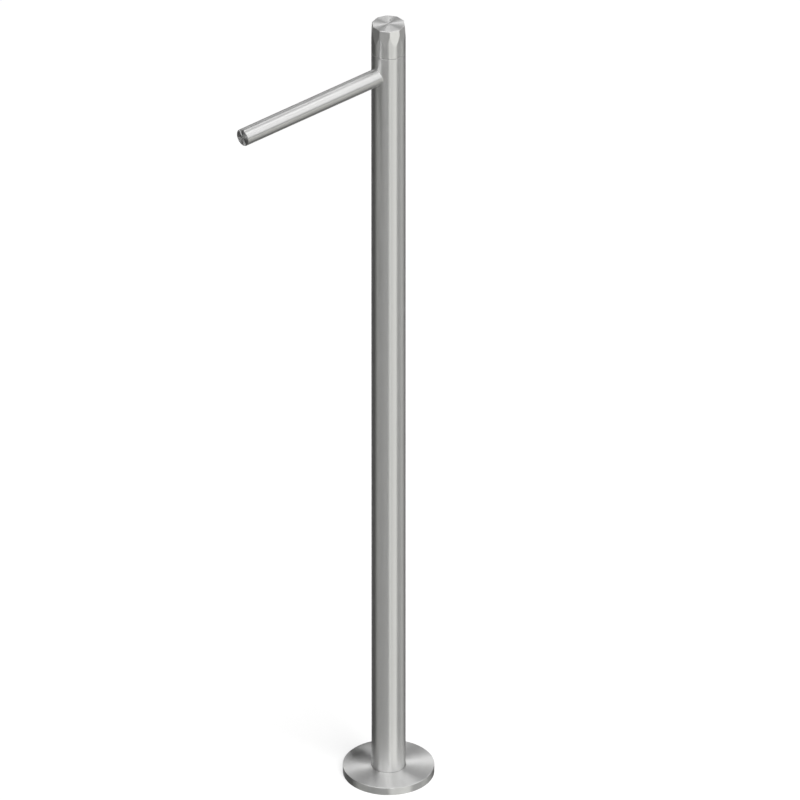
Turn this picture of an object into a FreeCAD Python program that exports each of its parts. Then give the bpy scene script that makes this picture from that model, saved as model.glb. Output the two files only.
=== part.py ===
"""Freestanding basin mixer: a brushed steel column on a round floor cover, with a straight spout and
a ten-sided knob on top that turns a progressive ceramic cartridge.

Millimetres, +Z up. The origin is on the column's axis at floor level, and the spout points along -Y.
"""
import FreeCAD
import Part

import math
import os

# Overall form
overall_height = 1076.0      # floor to the top of the knob
column_diameter = 42.0
column_wall = 2.0
spout_drop = 68.8            # top of the knob down to the spout's axis
spout_reach = 235.0          # column axis to the spout's end face
spout_diameter = 21.7
spout_wall = 1.5
edge_break = 0.4             # chamfer on the outer edges in sight

# Knob
knob_height = 38.5
knob_gap = 0.6               # shadow gap between knob and column
knob_turn = 140.0            # degrees from closed to full hot
facet_count = 10
facet_inset = 1.5            # how deep a facet cuts at the top
facet_length = 21.0          # height over which a facet runs out to nothing
insert_diameter = 14.0
insert_hold = 20.0           # length of the insert inside the knob
insert_tail = 2.0            # length of the insert below the knob
grub_diameter = 5.0
grub_height = 10.0           # screw's axis above the knob's lower face
grub_recess = 1.2            # how far the screw's outer end lies inside the knob's surface
grub_hex = 2.5               # across flats
grub_hex_depth = 2.5

# Floor cover
cover_diameter = 113.0
cover_height = 10.2
cover_rim = 5.5              # thickness of the outer rim
cover_gap = 0.5              # gap round the column
grip_pad_count = 3
grip_pad_thickness = 4.0
grip_pad_height = 2.4
grip_pad_half_angle = 10.0

# Foot plate
foot_width = 70.0
foot_corner = 8.0
foot_thickness = 4.0
screw_head_room = 3.4        # foot plate up to the cover's ceiling
floor_bolt_count = 4
floor_bolt_hole = 6.6
floor_bolt_edge = 8.0        # bolt's axis to both sides of the plate

# Water supply
pipe_diameter = 10.0
pipe_wall = 1.0
pipe_circle = 18.6           # circle through the axes of both pipes
pipe_socket = 12.0           # depth of each socket that a pipe is brazed into
port_angle = 35.0            # direction of the cold side from the X axis, and of the hot side from -X
block_sides = 6              # inlet block and valve body are cut from hexagon bar
inlet_recess = 3.0           # floor up to the inlet block
hose_thread_bore = 8.92      # core of an M10 x 1 thread
hose_thread_length = 14.0
spacer_count = 2
spacer_height = 8.0
spacer_sides = 6

# Valve body
seat_over_spout = 7.5        # cartridge seat above the spout's axis
body_floor = 28.0            # cartridge seat down to the body's lower end
waterway_diameter = 10.0
waterway_wall = 1.0
waterway_socket = 7.0        # depth of the waterway's sockets in body and tip

# Cartridge
cartridge_diameter = 25.0
cartridge_wall = 2.2
cartridge_floor = 3.0
cartridge_nut_height = 4.5
cartridge_nut_hex = 12.0     # across flats of the nut's key opening
disc_thickness = 3.0
disc_outlet = 6.0
disc_port_circle = 13.0      # circle through the middle of the inlet ports
disc_port_width = 3.6
disc_port_half_angle = 14.0
channel_half_angle = 55.0    # half the width of the moving disc's channel
channel_depth = 1.6
closed_margin = 2.0          # degrees that the channel stays clear of the cold port when closed
drive_key_width = 4.0
drive_key_depth = 1.4
stem_flange = 2.4
stem_flange_diameter = 16.4
stop_lug_half_angle = 14.0
stem_diameter = 9.0
spline_diameter = 8.0
spline_depth = 0.5
spline_teeth = 20
spline_hold = 15.0           # splined length inside the knob

# Spout tip and aerator
tip_length = 30.0
outlet_from_end = 14.5       # end face to the aerator's axis
aerator_thread = 16.5
aerator_wall = 1.3
aerator_inset = 3.4          # aerator's face above the spout's lowest line
aerator_height = 7.8
aerator_cell = 2.0           # across the flats of a honeycomb cell
aerator_web = 0.6            # wall between two cells
aerator_rings = 2            # rings of cells round the middle one
aerator_key_slots = 2

# Clearances
fit = 0.1                    # between fixed pieces that slip together
running = 0.15               # between pieces that turn or slide
grip_running = 0.05          # between the rubber pads and the column
film = 0.02                  # between the ceramic discs, and in a weld

# Levels and radii that follow
column_radius = column_diameter / 2
bore_radius = column_radius - column_wall
inner_radius = bore_radius - fit
spout_radius = spout_diameter / 2
spout_bore_radius = spout_radius - spout_wall
knob_bottom = overall_height - knob_height
column_top = knob_bottom - knob_gap
spout_level = overall_height - spout_drop
seat_level = spout_level + seat_over_spout
body_bottom = seat_level - body_floor
thread_top = inlet_recess + hose_thread_length
block_top = thread_top + pipe_socket
body_socket_top = body_bottom + pipe_socket
fixed_disc_bottom = seat_level + cartridge_floor
fixed_disc_top = fixed_disc_bottom + disc_thickness
moving_disc_bottom = fixed_disc_top + film
moving_disc_top = moving_disc_bottom + disc_thickness
flange_top = moving_disc_top + stem_flange
nut_bottom = flange_top + running
body_top = knob_bottom - running
floor_bolt_circle = (foot_width - 2 * floor_bolt_edge) * math.sqrt(2)
insert_bottom = knob_bottom - insert_tail
cartridge_radius = cartridge_diameter / 2
cavity_radius = cartridge_radius - cartridge_wall
disc_radius = cavity_radius - fit
cover_ceiling = foot_thickness + screw_head_room
tip_start = spout_reach - tip_length
aerator_face = spout_level - spout_radius + aerator_inset
aerator_seat = aerator_face + aerator_height
side_directions = {"cold": port_angle, "hot": 180.0 - port_angle}
FORWARD = FreeCAD.Vector(0, -1, 0)
UP = FreeCAD.Vector(0, 0, 1)
ORIGIN = FreeCAD.Vector(0, 0, 0)


def on_circle(radius, degrees, z=0.0):
    """A point at that radius and direction round the column's axis."""
    angle = math.radians(degrees)
    return FreeCAD.Vector(radius * math.cos(angle), radius * math.sin(angle), z)


def polygon_face(points):
    """A flat face inside a closed polygon."""
    return Part.Face(Part.makePolygon(points + points[:1]))


def turned(outline):
    """A solid of revolution about Z from the (radius, height) corners of its half section."""
    points = [FreeCAD.Vector(r, 0, z) for r, z in outline]
    return polygon_face(points).revolve(ORIGIN, UP, 360)


def rod(radius, bottom, top, centre=ORIGIN):
    """An upright cylinder between two levels."""
    base = FreeCAD.Vector(centre.x, centre.y, bottom)
    return Part.makeCylinder(radius, top - bottom, base, UP)


def tube(outer, inner, bottom, top, centre=ORIGIN):
    """An upright tube between two levels."""
    return rod(outer, bottom, top, centre).cut(rod(inner, bottom, top, centre))


def spout_rod(radius, start, end):
    """A cylinder on the spout's axis, from start to end in front of the column's axis."""
    return Part.makeCylinder(radius, end - start, FreeCAD.Vector(0, -start, spout_level), FORWARD)


def turned_about(shape, degrees, centre=ORIGIN):
    """A copy of the shape turned about an upright axis."""
    copy = shape.copy()
    copy.rotate(centre, UP, degrees)
    return copy


def sector(radius, start, end, bottom, top):
    """A pie slice round the column's axis, from one direction to another."""
    base = FreeCAD.Vector(0, 0, bottom)
    return turned_about(Part.makeCylinder(radius, top - bottom, base, UP, end - start), start)


def prism(sides, flats, bottom, top, centre=ORIGIN):
    """An upright regular prism, measured across its flats, with one flat facing -Y."""
    corner = flats / 2 / math.cos(math.pi / sides)
    points = [centre + on_circle(corner, (k + 0.5) * 360 / sides - 90, bottom) for k in range(sides)]
    return polygon_face(points).extrude(UP * (top - bottom))


def bore_prism(sides, bottom, top):
    """A prism whose corners reach the column's bore."""
    return prism(sides, 2 * inner_radius * math.cos(math.pi / sides), bottom, top)


def make_column_tube():
    """Drawn tube from the floor to the knob, pierced for the spout's waterway."""
    wall = turned([
        (bore_radius, 0),
        (column_radius, 0),
        (column_radius, column_top - edge_break),
        (column_radius - edge_break, column_top),
        (bore_radius, column_top),
    ])
    return wall.cut(spout_rod(waterway_diameter / 2 + fit, 0, column_diameter))


def make_foot_plate():
    """Square plate welded round the column's foot, with a hole in each corner for the floor screws."""
    side = foot_width
    blank = Part.makeBox(side, side, foot_thickness, FreeCAD.Vector(-side / 2, -side / 2, 0))
    corners = [e for e in blank.Edges if abs(e.Vertexes[0].Z - e.Vertexes[1].Z) > foot_thickness / 2]
    plate = blank.makeFillet(foot_corner, corners).cut(rod(column_radius + film, 0, foot_thickness))
    for k in range(floor_bolt_count):
        centre = on_circle(floor_bolt_circle / 2, (k + 0.5) * 360 / floor_bolt_count)
        plate = plate.cut(rod(floor_bolt_hole / 2, 0, foot_thickness, centre))
    return plate


def make_base_cover():
    """Turned cover that hides the foot and slides up the column."""
    rim = cover_diameter / 2
    hole = column_radius + cover_gap
    return turned([
        (rim - cover_rim, 0),
        (rim, 0),
        (rim, cover_height - edge_break),
        (rim - edge_break, cover_height),
        (hole, cover_height),
        (hole, cover_ceiling),
        (rim - cover_rim, cover_ceiling),
    ])


def make_cover_grip_pads():
    """Rubber pads glued under the cover, which grip the column when the cover is lifted."""
    inner = column_radius + grip_running
    bottom = cover_ceiling - grip_pad_height
    pads = []
    for k in range(grip_pad_count):
        middle = 90 + k * 360 / grip_pad_count
        start = middle - grip_pad_half_angle
        end = middle + grip_pad_half_angle
        pad = sector(inner + grip_pad_thickness, start, end, bottom, cover_ceiling)
        pads.append(pad.cut(rod(inner, bottom, cover_ceiling)))
    return pads


def pipe_centre(side):
    """Where the cold or hot pipe stands, seen from above."""
    return on_circle(pipe_circle / 2, side_directions[side])


def make_inlet_block():
    """Brass block brazed into the column's foot: for each supply a hose thread and a pipe socket."""
    block = bore_prism(block_sides, inlet_recess, block_top)
    for side in side_directions:
        centre = pipe_centre(side)
        block = block.cut(rod(hose_thread_bore / 2, inlet_recess, thread_top, centre))
        block = block.cut(rod(pipe_diameter / 2 + fit, thread_top, block_top, centre))
    return block


def make_supply_pipe(side):
    """Copper pipe from the inlet block up to the valve body."""
    radius = pipe_diameter / 2
    return tube(radius, radius - pipe_wall, thread_top, body_socket_top, pipe_centre(side))


def make_pipe_spacers():
    """Plastic clips that snap round both pipes from behind and keep them from rattling."""
    slot_radius = pipe_diameter / 2 + fit
    spacers = []
    for k in range(spacer_count):
        middle = block_top + (body_bottom - block_top) * (k + 1) / (spacer_count + 1)
        bottom = middle - spacer_height / 2
        top = middle + spacer_height / 2
        clip = bore_prism(spacer_sides, bottom, top)
        for side in side_directions:
            centre = pipe_centre(side)
            way_in = FreeCAD.Vector(centre.x - slot_radius, centre.y, bottom)
            clip = clip.cut(rod(slot_radius, bottom, top, centre))
            clip = clip.cut(Part.makeBox(2 * slot_radius, column_diameter, spacer_height, way_in))
        spacers.append(clip)
    return spacers


def cartridge_ports(bottom, top):
    """The curved cold and hot ports and the round outlet, as tools to cut with."""
    middle = disc_port_circle / 2
    half = disc_port_width / 2
    tools = [rod(disc_outlet / 2, bottom, top)]
    for direction in side_directions.values():
        start = direction - disc_port_half_angle
        end = direction + disc_port_half_angle
        tools.append(sector(middle + half, start, end, bottom, top).cut(rod(middle - half, bottom, top)))
    return tools


def make_valve_body():
    """Brass body that carries the cartridge and the knob, with the waterway's socket in front."""
    body = bore_prism(block_sides, body_bottom, body_top)
    body = body.cut(rod(cartridge_radius + fit, seat_level, body_top))
    body = body.cut(cartridge_ports(body_socket_top, seat_level))
    for side in side_directions:
        body = body.cut(rod(pipe_diameter / 2 + fit, body_bottom, body_socket_top, pipe_centre(side)))
    return body.cut(spout_rod(waterway_diameter / 2 + fit, waterway_start(), bore_radius))


def stop_lug_middle():
    """Direction of the stem's stop lug when the tap is closed."""
    return 270.0 - knob_turn / 2


def make_cartridge_housing():
    """Plastic cup for the discs, with the ports in its floor and stop faces for the stem's lug."""
    half = stop_lug_half_angle + math.degrees(running / cavity_radius)
    last = stop_lug_middle() + knob_turn + half
    first = stop_lug_middle() - half
    stop_bottom = moving_disc_top + running
    cup = rod(cartridge_radius, seat_level, nut_bottom)
    cup = cup.cut(rod(cavity_radius, fixed_disc_bottom, stop_bottom))
    cup = cup.cut(rod(stem_flange_diameter / 2 + running, stop_bottom, nut_bottom))
    cup = cup.cut(sector(cavity_radius, first, last, stop_bottom, nut_bottom))
    return cup.cut(cartridge_ports(seat_level, fixed_disc_bottom))


def make_fixed_disc():
    """Ceramic disc with the cold and hot ports and the outlet."""
    ports = cartridge_ports(fixed_disc_bottom, fixed_disc_top)
    return rod(disc_radius, fixed_disc_bottom, fixed_disc_top).cut(ports)


def drive_key(width, length, bottom, top):
    """The bar across the stem's foot, or the slot that it drives."""
    return Part.makeBox(length, width, top - bottom, FreeCAD.Vector(-length / 2, -width / 2, bottom))


def make_moving_disc():
    """Ceramic disc whose curved channel joins the outlet to one port, or to both."""
    roof = moving_disc_bottom + channel_depth
    reach = (disc_port_circle + disc_port_width) / 2
    middle = port_angle - disc_port_half_angle - channel_half_angle - closed_margin
    start = middle - channel_half_angle
    end = middle + channel_half_angle
    slot_bottom = moving_disc_top - drive_key_depth
    return rod(disc_radius - running, moving_disc_bottom, moving_disc_top).cut([
        sector(reach, start, end, moving_disc_bottom, roof),
        rod(disc_outlet / 2, moving_disc_bottom, roof),
        drive_key(drive_key_width, 2 * disc_radius, slot_bottom, moving_disc_top),
    ])


def splined_rod(radius, bottom, top):
    """A shaft with straight-sided teeth, or the tool for its bore."""
    pitch = 360.0 / spline_teeth
    root = radius - spline_depth
    tooth = ((-0.30, root), (-0.18, radius), (0.18, radius), (0.30, root))
    corners = [on_circle(r, (k + share) * pitch, bottom) for k in range(spline_teeth) for share, r in tooth]
    return polygon_face(corners).extrude(UP * (top - bottom))


def make_cartridge_stem():
    """Brass spindle: drive key, flange with stop lug, round shank and splined head."""
    shank_top = insert_bottom - fit
    start = stop_lug_middle() - stop_lug_half_angle
    end = stop_lug_middle() + stop_lug_half_angle
    key_width = drive_key_width - 2 * fit
    key_bottom = moving_disc_top - drive_key_depth + fit
    return rod(stem_flange_diameter / 2, moving_disc_top, flange_top).fuse([
        drive_key(key_width, stem_flange_diameter - key_width, key_bottom, moving_disc_top),
        sector(cavity_radius - running, start, end, moving_disc_top, flange_top),
        rod(stem_diameter / 2, flange_top, shank_top),
        splined_rod(spline_diameter / 2, shank_top, knob_bottom + spline_hold),
    ]).removeSplitter()


def make_cartridge_nut():
    """Brass nut screwed into the valve body over the cartridge, turned by a key in its hexagon."""
    top = nut_bottom + cartridge_nut_height
    return rod(cartridge_radius, nut_bottom, top).cut(prism(6, cartridge_nut_hex, nut_bottom, top))


def facet_cutter():
    """Wedge outside the facet that faces +X: it leans in from the full radius towards the top."""
    low = overall_height - facet_length
    points = [
        FreeCAD.Vector(column_radius, -column_radius, low),
        FreeCAD.Vector(column_diameter, -column_radius, low),
        FreeCAD.Vector(column_diameter, -column_radius, overall_height),
        FreeCAD.Vector(column_radius - facet_inset, -column_radius, overall_height),
    ]
    return polygon_face(points).extrude(FreeCAD.Vector(0, column_diameter, 0))


def make_knob():
    """Turned steel knob with leaning facets, one of them facing along the spout."""
    insert_hole = insert_diameter / 2 + fit
    hole_top = knob_bottom + insert_hold
    blank = turned([
        (insert_hole, knob_bottom),
        (column_radius, knob_bottom),
        (column_radius, overall_height),
        (0, overall_height),
        (0, hole_top),
        (insert_hole, hole_top),
    ])
    cutter = facet_cutter()
    knob = blank.cut([turned_about(cutter, 270 + k * 360 / facet_count) for k in range(facet_count)])
    rim = [e for e in knob.Edges if all(v.Z > overall_height - fit for v in e.Vertexes)]
    knob = knob.makeChamfer(edge_break, rim)
    screw_start = FreeCAD.Vector(0, 0, knob_bottom + grub_height)
    return knob.cut(Part.makeCylinder(grub_diameter / 2 + film, column_diameter, screw_start, -FORWARD))


def make_knob_insert():
    """Splined brass bush between knob and stem."""
    bush = rod(insert_diameter / 2, insert_bottom, knob_bottom + insert_hold)
    return bush.cut(splined_rod(spline_diameter / 2 + fit, insert_bottom, knob_bottom + spline_hold + fit))


def make_knob_grub_screw():
    """Hexagon-socket screw in the back of the knob, tight on the insert."""
    outer_end = column_radius - grub_recess
    screw = rod(grub_diameter / 2, insert_diameter / 2, outer_end)
    screw = screw.cut(prism(6, grub_hex, outer_end - grub_hex_depth, outer_end))
    screw.rotate(ORIGIN, FreeCAD.Vector(1, 0, 0), -90)
    screw.translate(FreeCAD.Vector(0, 0, knob_bottom + grub_height))
    return screw


def make_spout_tube():
    """Tube welded square to the column, its inner end cut to the column's round."""
    wall = spout_rod(spout_radius, 0, tip_start).cut(spout_rod(spout_bore_radius, 0, tip_start))
    return wall.cut(rod(column_radius + film, spout_level - spout_radius, spout_level + spout_radius))


def waterway_start():
    """Inner end of the waterway: its socket's depth behind the valve body's front flat."""
    return inner_radius * math.cos(math.pi / block_sides) - waterway_socket


def make_spout_waterway():
    """Pipe inside the spout that carries the mixed water from the valve body to the tip."""
    radius = waterway_diameter / 2
    end = tip_start + waterway_socket
    return spout_rod(radius, waterway_start(), end).cut(spout_rod(radius - waterway_wall, waterway_start(), end))


def aerator_axis():
    """The aerator's upright axis, seen from above."""
    return FreeCAD.Vector(0, outlet_from_end - spout_reach, 0)


def make_spout_tip():
    """Solid end of the spout, bored from behind for the waterway and from below for the aerator."""
    bevel = spout_reach - edge_break
    axis = aerator_axis()
    nose = Part.makeCone(spout_radius, spout_radius - edge_break, edge_break,
                         FreeCAD.Vector(0, -bevel, spout_level), FORWARD)
    return spout_rod(spout_radius, tip_start, bevel).fuse(nose).cut([
        spout_rod(waterway_diameter / 2 + fit, tip_start, spout_reach - outlet_from_end),
        rod(aerator_thread / 2, spout_level - spout_radius, aerator_seat, axis),
    ])


def make_aerator():
    """Cassette screwed into the tip from below: slotted rim, and a honeycomb that straightens the jet."""
    axis = aerator_axis()
    outer = aerator_thread / 2 - fit
    comb_bottom = aerator_face + aerator_wall
    slot = Part.makeBox(outer, aerator_wall, aerator_wall, FreeCAD.Vector(0, -aerator_wall / 2, aerator_face))
    slot.translate(axis)
    tools = [rod(outer - aerator_wall, aerator_face, comb_bottom, axis)]
    for k in range(aerator_key_slots):
        tools.append(turned_about(slot, k * 360 / aerator_key_slots, axis))
    pitch = aerator_cell + aerator_web
    for column in range(-aerator_rings, aerator_rings + 1):
        for row in range(-aerator_rings, aerator_rings + 1):
            if abs(column + row) <= aerator_rings:
                cell = axis + on_circle(column * pitch, 30) + on_circle(row * pitch, 90)
                tools.append(prism(6, aerator_cell, comb_bottom, aerator_seat, cell))
    return rod(outer, aerator_face, aerator_seat, axis).cut(tools)


def make_parts():
    """Every piece by name. A list holds the separate solids of one group."""
    return {
        "column_tube": make_column_tube(),
        "foot_plate": make_foot_plate(),
        "base_cover": make_base_cover(),
        "cover_grip_pads": make_cover_grip_pads(),
        "inlet_block": make_inlet_block(),
        "cold_supply_pipe": make_supply_pipe("cold"),
        "hot_supply_pipe": make_supply_pipe("hot"),
        "pipe_spacers": make_pipe_spacers(),
        "valve_body": make_valve_body(),
        "cartridge_housing": make_cartridge_housing(),
        "fixed_disc": make_fixed_disc(),
        "moving_disc": make_moving_disc(),
        "cartridge_stem": make_cartridge_stem(),
        "cartridge_nut": make_cartridge_nut(),
        "knob": make_knob(),
        "knob_insert": make_knob_insert(),
        "knob_grub_screw": make_knob_grub_screw(),
        "spout_tube": make_spout_tube(),
        "spout_waterway": make_spout_waterway(),
        "spout_tip": make_spout_tip(),
        "aerator": make_aerator(),
    }


os.makedirs("parts", exist_ok=True)
for name, shape in make_parts().items():
    if isinstance(shape, list):
        shape = Part.Compound(shape)
    shape.exportStep(f"parts/{name}.step")
    print(f"{name}: {len(shape.Solids)} solid(s), valid {shape.isValid()}, {shape.Volume:.0f} mm3")
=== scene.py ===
"""Freestanding basin mixer in brushed steel, dressed round its CAD frame.

Metres, +Z up. The column stands on the origin, and the spout points along -Y.
"""
import math

import bmesh
import bpy
from mathutils import Matrix, Vector


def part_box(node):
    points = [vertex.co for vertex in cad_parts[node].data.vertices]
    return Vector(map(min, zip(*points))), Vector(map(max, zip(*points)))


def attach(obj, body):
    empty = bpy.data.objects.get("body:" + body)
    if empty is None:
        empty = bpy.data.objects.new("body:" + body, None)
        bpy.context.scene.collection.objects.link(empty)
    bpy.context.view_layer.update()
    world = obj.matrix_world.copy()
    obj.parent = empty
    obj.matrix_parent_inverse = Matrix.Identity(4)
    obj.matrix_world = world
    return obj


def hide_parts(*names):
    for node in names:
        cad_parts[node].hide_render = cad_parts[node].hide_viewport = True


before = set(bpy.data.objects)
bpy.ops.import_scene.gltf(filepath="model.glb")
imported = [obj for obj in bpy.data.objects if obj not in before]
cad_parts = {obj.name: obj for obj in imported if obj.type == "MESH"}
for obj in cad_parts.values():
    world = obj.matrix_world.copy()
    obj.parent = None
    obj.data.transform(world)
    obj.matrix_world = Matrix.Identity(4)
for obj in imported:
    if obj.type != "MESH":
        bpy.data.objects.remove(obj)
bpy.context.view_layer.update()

# Foot plate
# Square steel plate, laser cut and left with its mill finish, with a hole in each corner for the floor
# screws. The column is welded into it, and the floor cover hides both.
MILL_STEEL_LIGHT = (0.50, 0.50, 0.49, 1.0)
MILL_STEEL_DARK = (0.40, 0.40, 0.40, 1.0)
NOISE_LOW = 0.3
NOISE_HIGH = 0.7


def node(tree, kind, inputs=(), **settings):
    """Adds a shader node with its settings and, for each input named, a value or a link."""
    made = tree.nodes.new(kind)
    for setting, value in settings.items():
        setattr(made, setting, value)
    for socket, value in dict(inputs).items():
        if isinstance(value, bpy.types.NodeSocket):
            tree.links.new(value, made.inputs[socket])
        else:
            made.inputs[socket].default_value = value
    return made


def mixed(tree, factor, first, second):
    """A colour between two others."""
    mix = node(tree, "ShaderNodeMix", {0: factor}, data_type="RGBA", clamp_factor=True)
    for socket, colour in zip(mix.inputs[6:8], (first, second)):
        if isinstance(colour, bpy.types.NodeSocket):
            tree.links.new(colour, socket)
        else:
            socket.default_value = colour
    return mix.outputs[2]


def group_with(name, inputs, outputs):
    """An empty shader group with named sockets. Each input has its kind and its usual value, or None."""
    group = bpy.data.node_groups.new(name, "ShaderNodeTree")
    for socket, kind, value in inputs:
        made = group.interface.new_socket(socket, in_out="INPUT", socket_type=kind)
        if value is not None:
            made.default_value = value
    for socket in outputs:
        group.interface.new_socket(socket, in_out="OUTPUT", socket_type="NodeSocketFloat")
    return group, group.nodes.new("NodeGroupInput"), group.nodes.new("NodeGroupOutput")


def make_mottle():
    """Group for an uneven surface: soft patches that change the gloss, and a fine skin for the bump."""
    group, given, result = group_with("mottle", [
        ("Vector", "NodeSocketVector", None),
        ("Patches", "NodeSocketFloat", None),
        ("Skin", "NodeSocketFloat", None),
        ("Low", "NodeSocketFloat", None),
        ("High", "NodeSocketFloat", None),
    ], ["Patch", "Roughness", "Height"])
    patches = node(group, "ShaderNodeTexNoise", {
        "Vector": given.outputs["Vector"], "Scale": given.outputs["Patches"], "Detail": 3.0})
    skin = node(group, "ShaderNodeTexNoise", {
        "Vector": given.outputs["Vector"], "Scale": given.outputs["Skin"], "Detail": 1.0})
    spread = node(group, "ShaderNodeMapRange", {
        "Value": patches.outputs["Fac"], "From Min": NOISE_LOW, "From Max": NOISE_HIGH,
        "To Min": given.outputs["Low"], "To Max": given.outputs["High"]})
    group.links.new(patches.outputs["Fac"], result.inputs["Patch"])
    group.links.new(spread.outputs["Result"], result.inputs["Roughness"])
    group.links.new(skin.outputs["Fac"], result.inputs["Height"])
    return group


MOTTLE = make_mottle()


def plain_finish(name, light, dark, metallic, gloss, patches, skin, skin_depth):
    """A finish with no direction, such as machined brass, drawn copper, moulded plastic or rubber.

    Gloss is the least and the most roughness, and patches and skin are counted per metre.
    """
    material = bpy.data.materials.new(name)
    material.use_nodes = True
    tree = material.node_tree
    shader = tree.nodes["Principled BSDF"]
    place = node(tree, "ShaderNodeTexCoord").outputs["Object"]
    mottle = node(tree, "ShaderNodeGroup", node_tree=MOTTLE)
    tree.links.new(place, mottle.inputs["Vector"])
    mottle.inputs["Patches"].default_value = patches
    mottle.inputs["Skin"].default_value = skin
    mottle.inputs["Low"].default_value, mottle.inputs["High"].default_value = gloss
    bump = node(tree, "ShaderNodeBump", {
        "Height": mottle.outputs["Height"], "Strength": 0.5, "Distance": skin_depth})
    tree.links.new(mixed(tree, mottle.outputs["Patch"], dark, light), shader.inputs["Base Color"])
    tree.links.new(mottle.outputs["Roughness"], shader.inputs["Roughness"])
    tree.links.new(bump.outputs["Normal"], shader.inputs["Normal"])
    shader.inputs["Metallic"].default_value = metallic
    return material


def finish_node(name, material):
    """Gives a CAD piece its finish."""
    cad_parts[name].material_slots[0].material = material


finish_node("foot_plate", plain_finish(
    "mill finish steel", light=MILL_STEEL_LIGHT, dark=MILL_STEEL_DARK, metallic=1.0, gloss=(0.35, 0.55),
    patches=90.0, skin=1800.0, skin_depth=0.00002))

# Column
# Drawn steel tube, 42 mm across with a 2 mm wall, linished on a belt while it turned, so its fine
# grain runs round it. It stands in the foot plate, and its upper edge is broken.
STEEL_LIGHT = (0.755, 0.755, 0.750, 1.0)
STEEL_DARK = (0.700, 0.700, 0.694, 1.0)
STEEL_METALLIC = 0.9
FINE_GRAIN = 3200.0
GRAIN_DRIFT = 1.5
GRAIN_DEPTH = 0.000002
BAND_SHARE = 0.06
COLUMN_WALL = 0.002
EDGE_BREAK = 0.0004
TUBE_BREAK = 0.0002
WELD_DISTANCE = 1e-6
SMOOTH_BELOW = math.radians(3.6)
column_low, column_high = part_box("column_tube")
column_radius = column_high.x


def make_lathe_grain():
    """Group for the rings that a belt or a tool leaves on a turned piece, whose axis is Z in Vector.

    Grain is fine scratches, Band is wider soft rings, and both drift a little on their way round.
    """
    group, given, result = group_with("lathe grain", [
        ("Vector", "NodeSocketVector", None),
        ("Fineness", "NodeSocketFloat", None),
        ("Drift", "NodeSocketFloat", GRAIN_DRIFT),
    ], ["Grain", "Band"])
    flat = node(group, "ShaderNodeVectorMath", {
        0: given.outputs["Vector"], 1: (1.0, 1.0, 0.0)}, operation="MULTIPLY").outputs[0]
    radius = node(group, "ShaderNodeVectorMath", {0: flat}, operation="LENGTH").outputs["Value"]
    height = node(group, "ShaderNodeSeparateXYZ", {0: given.outputs["Vector"]}).outputs["Z"]
    across = node(group, "ShaderNodeCombineXYZ", {"X": radius, "Y": height}).outputs[0]
    way_round = node(group, "ShaderNodeVectorMath", {0: flat}, operation="NORMALIZE").outputs[0]
    drift = node(group, "ShaderNodeVectorMath", {
        0: way_round, "Scale": given.outputs["Drift"]}, operation="SCALE").outputs[0]
    for share, name in ((1.0, "Grain"), (BAND_SHARE, "Band")):
        density = node(group, "ShaderNodeMath", {
            0: given.outputs["Fineness"], 1: share}, operation="MULTIPLY").outputs[0]
        rings = node(group, "ShaderNodeVectorMath", {0: across, "Scale": density}, operation="SCALE")
        spot = node(group, "ShaderNodeVectorMath", {0: rings.outputs[0], 1: drift}, operation="ADD")
        noise = node(group, "ShaderNodeTexNoise", {"Vector": spot.outputs[0], "Scale": 1.0, "Detail": 2.0})
        group.links.new(noise.outputs["Fac"], result.inputs[name])
    return group


LATHE_GRAIN = make_lathe_grain()


def turned_steel(name, gloss, axis="Z", height=0.0, fineness=FINE_GRAIN):
    """Steel with rings round an upright axis, or round an axis along Y at that height."""
    material = bpy.data.materials.new(name)
    material.use_nodes = True
    tree = material.node_tree
    shader = tree.nodes["Principled BSDF"]
    place = node(tree, "ShaderNodeTexCoord").outputs["Object"]
    if axis == "Y":
        place = node(tree, "ShaderNodeMapping", {
            "Vector": place, "Location": (0.0, height, 0.0),
            "Rotation": (math.radians(90), 0.0, 0.0)}).outputs[0]
    grain = node(tree, "ShaderNodeGroup", node_tree=LATHE_GRAIN)
    tree.links.new(place, grain.inputs["Vector"])
    grain.inputs["Fineness"].default_value = fineness
    roughness = node(tree, "ShaderNodeMapRange", {
        "Value": grain.outputs["Band"], "From Min": NOISE_LOW, "From Max": NOISE_HIGH,
        "To Min": gloss[0], "To Max": gloss[1]})
    bump = node(tree, "ShaderNodeBump", {
        "Height": grain.outputs["Grain"], "Strength": 0.3, "Distance": GRAIN_DEPTH})
    tangent = node(tree, "ShaderNodeTangent", direction_type="RADIAL", axis=axis)
    colour = mixed(tree, grain.outputs["Grain"], STEEL_DARK, STEEL_LIGHT)
    tree.links.new(colour, shader.inputs["Base Color"])
    tree.links.new(roughness.outputs["Result"], shader.inputs["Roughness"])
    tree.links.new(bump.outputs["Normal"], shader.inputs["Normal"])
    tree.links.new(tangent.outputs["Tangent"], shader.inputs["Tangent"])
    shader.inputs["Metallic"].default_value = STEEL_METALLIC
    shader.inputs["Anisotropic"].default_value = 1.0
    shader.inputs["Anisotropic Rotation"].default_value = 0.25
    return material


def spun(corners, steps, closed=True):
    """A bmesh turned round the Z axis from the (radius, height) corners of its half section."""
    bm = bmesh.new()
    verts = [bm.verts.new((radius, 0.0, height)) for radius, height in corners]
    pairs = list(zip(verts, verts[1:]))
    if closed:
        pairs.append((verts[-1], verts[0]))
    edges = [bm.edges.new(pair) for pair in pairs]
    bmesh.ops.spin(bm, geom=verts + edges, cent=(0, 0, 0), axis=(0, 0, 1), angle=math.tau,
                   steps=steps, use_merge=True)
    bmesh.ops.remove_doubles(bm, verts=bm.verts, dist=WELD_DISTANCE)
    return bm


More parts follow.
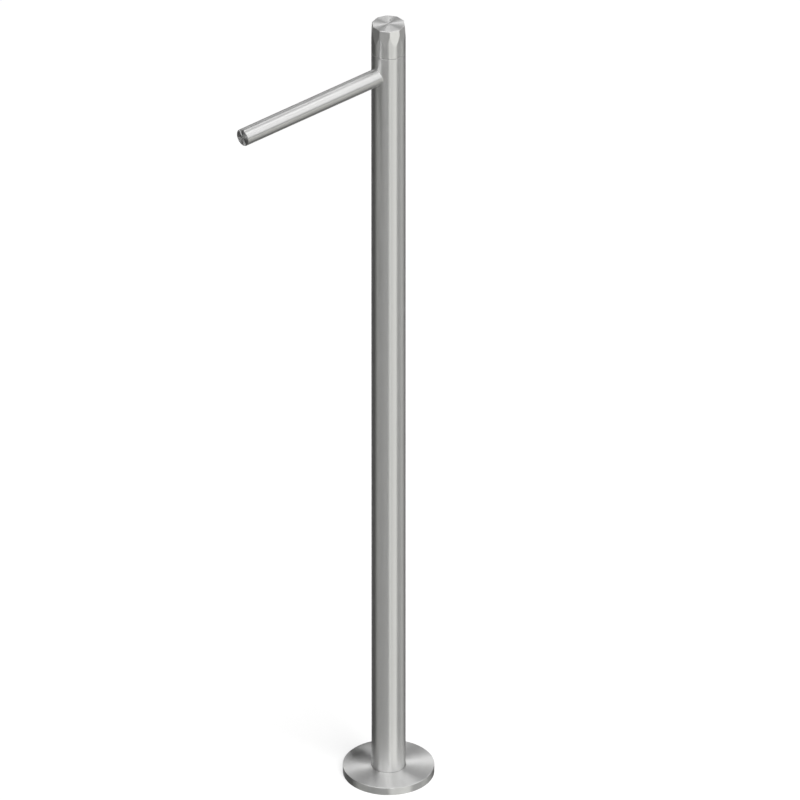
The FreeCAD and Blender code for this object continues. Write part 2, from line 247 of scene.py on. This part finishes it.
def finish_piece(bm, name, body, slot, material, *cad_nodes):
    """Turns the bmesh into a piece that rides on its body and stands for its CAD nodes."""
    bmesh.ops.recalc_face_normals(bm, faces=bm.faces)
    mesh = bpy.data.meshes.new(name)
    bm.to_mesh(mesh)
    bm.free()
    mesh.shade_smooth()
    mesh.set_sharp_from_angle(angle=SMOOTH_BELOW)
    mesh.materials.append(material)
    piece = bpy.data.objects.new(name, mesh)
    bpy.context.scene.collection.objects.link(piece)
    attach(piece, body)
    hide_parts(*cad_nodes)
    return piece


LINISHED_GLOSS = (0.30, 0.36)
column_shape = spun([
    (column_radius - COLUMN_WALL, column_low.z),
    (column_radius, column_low.z),
    (column_radius, column_high.z - TUBE_BREAK),
    (column_radius - TUBE_BREAK, column_high.z),
    (column_radius - COLUMN_WALL, column_high.z),
], steps=192)
finish_piece(column_shape, "column", "column", "drawn_steel",
             turned_steel("linished steel", LINISHED_GLOSS), "column_tube")

# Supply pipes and inlet block
# Two copper pipes brazed between a brass inlet block in the column's foot and the valve body, kept
# apart by clips of black plastic that snap on from behind. All of it is hidden inside the column.
BRASS = plain_finish(
    "machined brass", light=(0.80, 0.63, 0.33, 1.0), dark=(0.70, 0.52, 0.25, 1.0), metallic=1.0,
    gloss=(0.22, 0.36), patches=160.0, skin=2600.0, skin_depth=0.00001)
COPPER = plain_finish(
    "drawn copper", light=(0.86, 0.50, 0.35, 1.0), dark=(0.62, 0.33, 0.22, 1.0), metallic=1.0,
    gloss=(0.25, 0.45), patches=70.0, skin=2000.0, skin_depth=0.00001)
BLACK_PLASTIC = plain_finish(
    "black moulded plastic", light=(0.050, 0.050, 0.052, 1.0), dark=(0.035, 0.035, 0.036, 1.0),
    metallic=0.0, gloss=(0.45, 0.6), patches=200.0, skin=4000.0, skin_depth=0.00003)
finish_node("inlet_block", BRASS)
finish_node("cold_supply_pipe", COPPER)
finish_node("hot_supply_pipe", COPPER)
finish_node("pipe_spacers", BLACK_PLASTIC)

# Valve body and cartridge
# A brass body cut from hexagon bar holds a plastic cartridge cup with two lapped ceramic discs, which
# a brass nut clamps down. The splined brass stem turns the upper disc.
WHITE_PLASTIC = plain_finish(
    "white moulded plastic", light=(0.84, 0.84, 0.82, 1.0), dark=(0.78, 0.78, 0.76, 1.0), metallic=0.0,
    gloss=(0.4, 0.55), patches=200.0, skin=4000.0, skin_depth=0.00003)
CERAMIC = plain_finish(
    "lapped ceramic", light=(0.90, 0.89, 0.86, 1.0), dark=(0.84, 0.82, 0.78, 1.0), metallic=0.0,
    gloss=(0.18, 0.28), patches=400.0, skin=6000.0, skin_depth=0.000004)
for cad_node in ("valve_body", "cartridge_stem", "cartridge_nut"):
    finish_node(cad_node, BRASS)
finish_node("cartridge_housing", WHITE_PLASTIC)
finish_node("fixed_disc", CERAMIC)
finish_node("moving_disc", CERAMIC)

# Spout
# Steel tube welded square to the column, with a solid tip brazed in and linished over, so that it
# reads as one bar. The tip is bored from below for the aerator, and its end is faced on a lathe.
SPOUT_WALL = 0.0015
WELD_SIZE = 0.0003
WELD_PROFILE = ((1.0, 0.0), (0.3, 0.5), (0.0, 1.5))  # outward and along the spout, in weld sizes
WELD_END = 2  # past the weld's last point, in weld sizes
POCKET_RADIUS = 0.00825
spout_low, spout_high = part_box("spout_tube")
tip_low, tip_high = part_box("spout_tip")
aerator_low, aerator_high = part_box("aerator")
spout_radius = spout_high.x
spout_level = (spout_low.z + spout_high.z) / 2
spout_length = -tip_low.y - column_radius
tube_length = -tip_high.y - column_radius


def cut_out(shape, tool):
    """The bmesh with the tool's shape cut out of it."""
    blocks = []
    for part in (shape, tool):
        bmesh.ops.recalc_face_normals(part, faces=part.faces)
        mesh = bpy.data.meshes.new("block")
        part.to_mesh(mesh)
        part.free()
        blocks.append(bpy.data.objects.new("block", mesh))
        bpy.context.scene.collection.objects.link(blocks[-1])
    cut = blocks[0].modifiers.new("cut", "BOOLEAN")
    cut.object = blocks[1]
    cut.solver = "EXACT"
    result = bmesh.new()
    result.from_object(blocks[0], bpy.context.evaluated_depsgraph_get())
    for block in blocks:
        bpy.data.objects.remove(block)
    return result


def rod_tool(radius, depth, place):
    """A round tool to cut with, its axis along Z before the place is applied."""
    tool = bmesh.new()
    bmesh.ops.create_cone(tool, cap_ends=True, segments=128, radius1=radius, radius2=radius,
                          depth=depth, matrix=place)
    return tool


spout_shape = spun([
    (spout_radius - SPOUT_WALL, 0.0),
    *((spout_radius + WELD_SIZE * outward, WELD_SIZE * along) for outward, along in WELD_PROFILE),
    (spout_radius, spout_length - EDGE_BREAK),
    (spout_radius - EDGE_BREAK, spout_length),
    (0.0, spout_length),
    (0.0, tube_length),
    (spout_radius - SPOUT_WALL, tube_length),
], steps=144)
bmesh.ops.rotate(spout_shape, verts=spout_shape.verts, cent=(0, 0, 0),
                 matrix=Matrix.Rotation(math.radians(90), 3, "X"))
for vert in spout_shape.verts:
    at_root = vert.co.y > -WELD_SIZE * WELD_END
    vert.co.y -= math.sqrt(column_radius ** 2 - vert.co.x ** 2) if at_root else column_radius
    vert.co.z += spout_level
pocket = rod_tool(POCKET_RADIUS, 2 * spout_radius, Matrix.Translation((
    0.0, (aerator_low.y + aerator_high.y) / 2, aerator_high.z - spout_radius)))
finish_piece(cut_out(spout_shape, pocket), "spout", "column", "drawn_steel",
             turned_steel("linished steel, spout", LINISHED_GLOSS, axis="Y", height=spout_level),
             "spout_tube", "spout_tip")
finish_node("spout_waterway", COPPER)

# Aerator
# Plastic cassette with a honeycomb that straightens the jet, screwed into the tip from below.
finish_node("aerator", plain_finish(
    "grey moulded plastic", light=(0.56, 0.56, 0.55, 1.0), dark=(0.50, 0.50, 0.49, 1.0), metallic=0.0,
    gloss=(0.4, 0.55), patches=300.0, skin=5000.0, skin_depth=0.00002))

# Knob
# Solid steel, turned, then milled with ten leaning facets that run out half-way down, one of them
# facing along the spout. A brass bush inside it is held by a grub screw in its back.
FACET_COUNT = 10
FACET_INSET = 0.0015
FACET_LENGTH = 0.021
BUSH_DEPTH = 0.020
FACET_RISE = (0.01, 0.5)  # the normal of a facet rises by more than a side's and less than the top's
RIDGE_BREAK = 0.00025
knob_low, knob_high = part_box("knob")
bush_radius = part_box("knob_insert")[1].x
grub_low, grub_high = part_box("knob_grub_screw")
knob_height = knob_high.z - knob_low.z
knob_shape = bmesh.new()
bmesh.ops.create_cone(
    knob_shape, cap_ends=True, segments=180, radius1=knob_high.x, radius2=knob_high.x, depth=knob_height,
    matrix=Matrix.Translation((0.0, 0.0, (knob_low.z + knob_high.z) / 2)))
for number in range(FACET_COUNT):
    turn = Matrix.Rotation(math.radians(-90) + number * math.tau / FACET_COUNT, 3, "Z")
    cut = bmesh.ops.bisect_plane(
        knob_shape, geom=knob_shape.verts[:] + knob_shape.edges[:] + knob_shape.faces[:],
        dist=WELD_DISTANCE, plane_co=turn @ Vector((knob_high.x, 0.0, knob_high.z - FACET_LENGTH)),
        plane_no=turn @ Vector((FACET_LENGTH, 0.0, FACET_INSET)), clear_outer=True)
    rim = [part for part in cut["geom_cut"] if isinstance(part, bmesh.types.BMEdge)]
    bmesh.ops.edgeloop_fill(knob_shape, edges=rim)
bmesh.ops.recalc_face_normals(knob_shape, faces=knob_shape.faces)
ridges = [edge for edge in knob_shape.edges
          if all(FACET_RISE[0] < face.normal.z < FACET_RISE[1] for face in edge.link_faces)]
bmesh.ops.bevel(knob_shape, geom=ridges, offset=RIDGE_BREAK, offset_type="OFFSET", affect="EDGES",
                segments=1, profile=0.5, material=-1)
top_edges = [edge for edge in knob_shape.edges
             if min(vert.co.z for vert in edge.verts) > knob_high.z - WELD_DISTANCE]
bmesh.ops.bevel(knob_shape, geom=top_edges, offset=EDGE_BREAK, offset_type="OFFSET", affect="EDGES",
                segments=1, profile=0.5, material=-1)
knob_shape = cut_out(knob_shape, rod_tool(
    bush_radius, 2 * BUSH_DEPTH, Matrix.Translation((0.0, 0.0, knob_low.z))))
knob_shape = cut_out(knob_shape, rod_tool(grub_high.x, 2 * knob_high.y, Matrix.Translation((
    0.0, knob_high.y, (grub_low.z + grub_high.z) / 2)) @ Matrix.Rotation(math.radians(90), 4, "X")))
finish_piece(knob_shape, "knob_body", "knob", "knob_steel",
             turned_steel("turned steel, knob", (0.29, 0.33)), "knob")
finish_node("knob_insert", BRASS)
finish_node("knob_grub_screw", turned_steel("steel screw", (0.3, 0.4), axis="Y", fineness=6000.0))

# Floor cover
# Steel cover turned in one piece, hollow underneath and 113 mm across, which hides the foot plate and
# its screws. Three rubber pads glued inside grip the column when it is slid up.
COVER_RIM = 0.0055
COVER_GAP = 0.0005
cover_low, cover_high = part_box("base_cover")
ceiling_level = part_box("cover_grip_pads")[1].z
cover_radius = cover_high.x
cover_hole = column_radius + COVER_GAP
cover_shape = spun([
    (cover_radius - COVER_RIM, cover_low.z),
    (cover_radius, cover_low.z),
    (cover_radius, cover_high.z - EDGE_BREAK),
    (cover_radius - EDGE_BREAK, cover_high.z),
    (cover_hole, cover_high.z),
    (cover_hole, ceiling_level),
    (cover_radius - COVER_RIM, ceiling_level),
], steps=288)
finish_piece(cover_shape, "floor_cover", "cover", "turned_steel",
             turned_steel("turned steel, cover", (0.31, 0.37)), "base_cover")
finish_node("cover_grip_pads", plain_finish(
    "black rubber", light=(0.040, 0.040, 0.040, 1.0), dark=(0.025, 0.025, 0.025, 1.0), metallic=0.0,
    gloss=(0.7, 0.9), patches=300.0, skin=3000.0, skin_depth=0.00005))

# Studio
# White floor and surroundings. Metal mirrors a grey tent with soft cards instead, a black sheet behind the
# cover that paints the column's shadow into the cover's reflection, and small panels near the spout's end.
# These are set for this view and show in reflections only.
# Degrees are counted right of the camera, and upward.
PHOTO_AZIMUTH = math.radians(48.96)
PHOTO_ELEVATION = math.radians(31.7)
TENT_RADIUS = 30.0
TENT_GREY = 0.27
CARD_EDGE = 6.0
CARDS = (  # degrees right, degrees up, half width, half height, brightness
    (-38, 47, 40, 18, 2.1),
    (65, 40, 60, 34, 1.2),
    (125, 60, 40, 7, 1.6),
    (-6, 48, 26, 19, 2.5),
    (104, 31, 14, 8, 0.35),
    (28, -21, 26, 15, 1.1),
    (42, -8, 15, 7, 1.8),
    (54, -40, 12, 9, 0.55),
    (85, -30, 26, 18, 0.25),
    (103, -32, 8, 12, 0.7),
    (180, 32, 30, 9, 0.7),
    (160, 15, 11, 10, 1.7),
    (-151, 29, 12, 8, 1.9),
    (180, 68, 18, 10, 2.7),
    (-28, -32, 28, 14, 0.17),
    (-124, -25, 30, 24, 0.03),
    (-83, -38, 6, 10, 0.6),
    (145, -25, 12, 24, 0.0),
    (150, 45, 18, 7, 0.0),
    (-147, 56, 15, 5, 0.0),
    (-176, 5, 12, 14, 0.0),
    (80, -70, 40, 20, 0.05),
)
# Painted shadow: a black sheet near the column's foot that darkens the cover's back-left in its
# reflection, where the column shades the cover.
SHADOW_SHEET_RIGHT = -153
SHADOW_SHEET_DISTANCE = 0.060
SHADOW_SHEET_LEVEL = 0.018
SHADOW_SHEET_WIDTH = 0.046
SHADOW_SHEET_HEIGHT = 0.036
SHADOW_SHEET_GREY = 0.0
END_PANELS = (  # degrees right, degrees up, distance, size, brightness
    (-92, -28, 0.11, 0.15, 0.03),
    (-107, -10, 0.10, 0.024, 2.6),
    (-57, -14, 0.10, 0.024, 2.6),
    (-103, -54, 0.10, 0.022, 2.2),
    (-146, -37, 0.10, 0.024, 2.0),
)
WHITE = (1.0, 1.0, 1.0)
FLOOR_TINT = (1.0, 1.005, 0.955)
KEY_RIGHT = 42.0
KEY_UP = 50.0
KEY_DISTANCE = 10.0
KEY_WIDTH = 5.2
KEY_HEIGHT = 7.0
KEY_POWER = 890.0
FLOOR_SIZE = 12.0
FLOOR_SHADOW = 0.35
FLOOR_WHITE = 1.1
AMBIENT = 0.3


def tent_colour_at(degrees_up, brightness):
    """A neutral colour above the horizon, and one with the floor's tint below it."""
    tint = FLOOR_TINT if degrees_up <= 0 else WHITE
    return tuple(brightness * part for part in tint) + (1.0,)


def make_card():
    """Group for one soft-edged card on the tent: 1 on the card and 0 beside it, all in degrees."""
    sockets = ("Right", "Up", "At Right", "At Up", "Half Width", "Half Height")
    group, given, result = group_with(
        "card", [(name, "NodeSocketFloat", None) for name in sockets], ["Mask"])

    def inside(place, middle, half, wrap):
        """How far the place lies inside the card along one direction."""
        offset = node(group, "ShaderNodeMath", {0: place, 1: middle}, operation="SUBTRACT").outputs[0]
        if wrap:
            offset = node(group, "ShaderNodeMath", {
                0: offset, 1: 180.0, 2: -180.0}, operation="WRAP").outputs[0]
        distance = node(group, "ShaderNodeMath", {0: offset}, operation="ABSOLUTE").outputs[0]
        depth = node(group, "ShaderNodeMath", {0: half, 1: distance}, operation="SUBTRACT").outputs[0]
        return node(group, "ShaderNodeMapRange", {
            "Value": depth, "From Min": -CARD_EDGE / 2, "From Max": CARD_EDGE / 2},
            interpolation_type="SMOOTHSTEP").outputs["Result"]

    sideways = inside(given.outputs["Right"], given.outputs["At Right"], given.outputs["Half Width"], True)
    upright = inside(given.outputs["Up"], given.outputs["At Up"], given.outputs["Half Height"], False)
    both = node(group, "ShaderNodeMath", {0: sideways, 1: upright}, operation="MULTIPLY")
    group.links.new(both.outputs[0], result.inputs["Mask"])
    return group


def seen_directly(tree):
    """1 for rays from the camera, a mirror or glass, and 0 for light that only bounces."""
    path = node(tree, "ShaderNodeLightPath")
    first = node(tree, "ShaderNodeMath", {
        0: path.outputs["Is Camera Ray"], 1: path.outputs["Is Glossy Ray"]}, operation="MAXIMUM")
    return node(tree, "ShaderNodeMath", {
        0: first.outputs[0], 1: path.outputs["Is Transmission Ray"]}, operation="MAXIMUM").outputs[0]


def bare_material(name):
    """A material with no shader yet, and its node tree."""
    material = bpy.data.materials.new(name)
    material.use_nodes = True
    material.node_tree.nodes.remove(material.node_tree.nodes["Principled BSDF"])
    return material, material.node_tree


def stage_piece(bm, name, material):
    """Turns the bmesh into a piece of the studio."""
    mesh = bpy.data.meshes.new(name)
    bm.to_mesh(mesh)
    bm.free()
    mesh.materials.append(material)
    piece = bpy.data.objects.new(name, mesh)
    bpy.context.scene.collection.objects.link(piece)
    return piece


def show_in_reflections_only(piece):
    """Hides a piece of the studio from the camera, and keeps it from lighting or shading the object."""
    piece.visible_camera = False
    piece.visible_diffuse = False
    piece.visible_shadow = False


def direction(degrees_right, degrees_up):
    """The way to a place in the studio."""
    azimuth = PHOTO_AZIMUTH + math.radians(degrees_right - 90)
    elevation = math.radians(degrees_up)
    return Vector((math.cos(azimuth) * math.cos(elevation), math.sin(azimuth) * math.cos(elevation),
                   math.sin(elevation)))


def small_panel(name, middle, faced, width, height, brightness):
    """A small panel near the object that faces a place."""
    material, tree = bare_material(name)
    glow = node(tree, "ShaderNodeEmission", {"Strength": brightness})
    tree.links.new(glow.outputs[0], tree.nodes["Material Output"].inputs["Surface"])
    turn = (faced - middle).to_track_quat("Z", "Y").to_matrix().to_4x4()
    shape = bmesh.new()
    bmesh.ops.create_grid(shape, x_segments=1, y_segments=1, size=0.5, matrix=(
        Matrix.Translation(middle) @ turn @ Matrix.Diagonal((width, height, 1.0, 1.0))))
    show_in_reflections_only(stage_piece(shape, name, material))


tent_material, tree = bare_material("grey tent with cards")
outward = node(tree, "ShaderNodeMapping", {
    "Vector": node(tree, "ShaderNodeTexCoord").outputs["Object"],
    "Rotation": (0.0, 0.0, math.radians(90) - PHOTO_AZIMUTH)}).outputs[0]
outward = node(tree, "ShaderNodeVectorMath", {0: outward}, operation="NORMALIZE").outputs[0]
split = node(tree, "ShaderNodeSeparateXYZ", {0: outward})
around = node(tree, "ShaderNodeMath", {
    0: split.outputs["Y"], 1: split.outputs["X"]}, operation="ARCTAN2").outputs[0]
around = node(tree, "ShaderNodeMath", {0: around}, operation="DEGREES").outputs[0]
upward = node(tree, "ShaderNodeMath", {0: split.outputs["Z"]}, operation="ARCSINE").outputs[0]
upward = node(tree, "ShaderNodeMath", {0: upward}, operation="DEGREES").outputs[0]
card_group = make_card()
above = node(tree, "ShaderNodeMapRange", {
    "Value": upward, "From Min": -CARD_EDGE, "From Max": CARD_EDGE}).outputs["Result"]
tent_colour = mixed(tree, above, tent_colour_at(-90, TENT_GREY), tent_colour_at(90, TENT_GREY))
for degrees_right, degrees_up, half_width, half_height, brightness in CARDS:
    card = node(tree, "ShaderNodeGroup", node_tree=card_group)
    tree.links.new(around, card.inputs["Right"])
    tree.links.new(upward, card.inputs["Up"])
    for socket, value in (("At Right", degrees_right), ("At Up", degrees_up),
                          ("Half Width", half_width), ("Half Height", half_height)):
        card.inputs[socket].default_value = value
    tent_colour = mixed(tree, card.outputs["Mask"], tent_colour, tent_colour_at(degrees_up, brightness))
glow = node(tree, "ShaderNodeEmission", {"Color": tent_colour})
tree.links.new(glow.outputs[0], tree.nodes["Material Output"].inputs["Surface"])
tent_shape = bmesh.new()
bmesh.ops.create_uvsphere(tent_shape, u_segments=48, v_segments=24, radius=TENT_RADIUS)
show_in_reflections_only(stage_piece(tent_shape, "studio_tent", tent_material))

# Painted shadow: the black sheet, seen only in the cover's reflection, stands in for the column's shadow
# on the cover.
column_middle = Vector((0.0, 0.0, SHADOW_SHEET_LEVEL))
shadow_sheet_middle = direction(SHADOW_SHEET_RIGHT, 0) * SHADOW_SHEET_DISTANCE + column_middle
small_panel("painted_shadow_sheet", shadow_sheet_middle, column_middle, SHADOW_SHEET_WIDTH, SHADOW_SHEET_HEIGHT, SHADOW_SHEET_GREY)
spout_end = Vector((0.0, tip_low.y, spout_level))
for degrees_right, degrees_up, distance, size, brightness in END_PANELS:
    panel_middle = spout_end + direction(degrees_right, degrees_up) * distance
    small_panel("studio_end_card", panel_middle, spout_end, size, size, brightness)

floor_material, tree = bare_material("white floor")
paint = node(tree, "ShaderNodeBsdfDiffuse", {"Color": (FLOOR_SHADOW, FLOOR_SHADOW, FLOOR_SHADOW, 1.0)})
lift = node(tree, "ShaderNodeMath", {
    0: seen_directly(tree), 1: FLOOR_WHITE - FLOOR_SHADOW}, operation="MULTIPLY")
lifted = node(tree, "ShaderNodeEmission", {"Strength": lift.outputs[0]})
both = node(tree, "ShaderNodeAddShader", {0: paint.outputs[0], 1: lifted.outputs[0]})
tree.links.new(both.outputs[0], tree.nodes["Material Output"].inputs["Surface"])
floor_shape = bmesh.new()
bmesh.ops.create_grid(floor_shape, x_segments=1, y_segments=1, size=FLOOR_SIZE / 2)
floor = stage_piece(floor_shape, "studio_floor", floor_material)
floor.visible_glossy = False

world = bpy.data.worlds.new("white surroundings")
bpy.context.scene.world = world
world.use_nodes = True
tree = world.node_tree
world_level = node(tree, "ShaderNodeMapRange", {
    "Value": seen_directly(tree), "To Min": AMBIENT, "To Max": 1.0})
tree.links.new(world_level.outputs["Result"], tree.nodes["Background"].inputs["Strength"])
tree.nodes["Background"].inputs["Color"].default_value = WHITE + (1.0,)

key_direction = direction(KEY_RIGHT, KEY_UP)
key_data = bpy.data.lights.new("softbox", "AREA")
key_data.shape = "RECTANGLE"
key_data.size = KEY_WIDTH
key_data.size_y = KEY_HEIGHT
key_data.energy = KEY_POWER
key = bpy.data.objects.new("softbox", key_data)
bpy.context.scene.collection.objects.link(key)
key.location = key_direction * KEY_DISTANCE
key.rotation_euler = key_direction.to_track_quat("Z", "Y").to_euler()
key.visible_camera = False
key.visible_glossy = False

# Camera
# A very long lens, because the photograph shows no perspective.
LENS = 1700.0
SENSOR = 36.0
VIEW_WIDTH = 0.9864
VIEW_RIGHT = 0.0141
VIEW_UP = 0.4571
back = Vector((
    math.sin(PHOTO_AZIMUTH) * math.cos(PHOTO_ELEVATION),
    -math.cos(PHOTO_AZIMUTH) * math.cos(PHOTO_ELEVATION),
    math.sin(PHOTO_ELEVATION)))
right = Vector((math.cos(PHOTO_AZIMUTH), math.sin(PHOTO_AZIMUTH), 0.0))
camera_data = bpy.data.cameras.new("camera")
camera_data.lens = LENS
camera_data.sensor_width = SENSOR
camera_data.clip_end = 200.0
camera = bpy.data.objects.new("camera", camera_data)
bpy.context.scene.collection.objects.link(camera)
camera.location = right * VIEW_RIGHT + back.cross(right) * VIEW_UP + back * VIEW_WIDTH * LENS / SENSOR
camera.rotation_euler = back.to_track_quat("Z", "Y").to_euler()
bpy.context.scene.camera = camera
bpy.context.scene.view_settings.view_transform = "Standard"
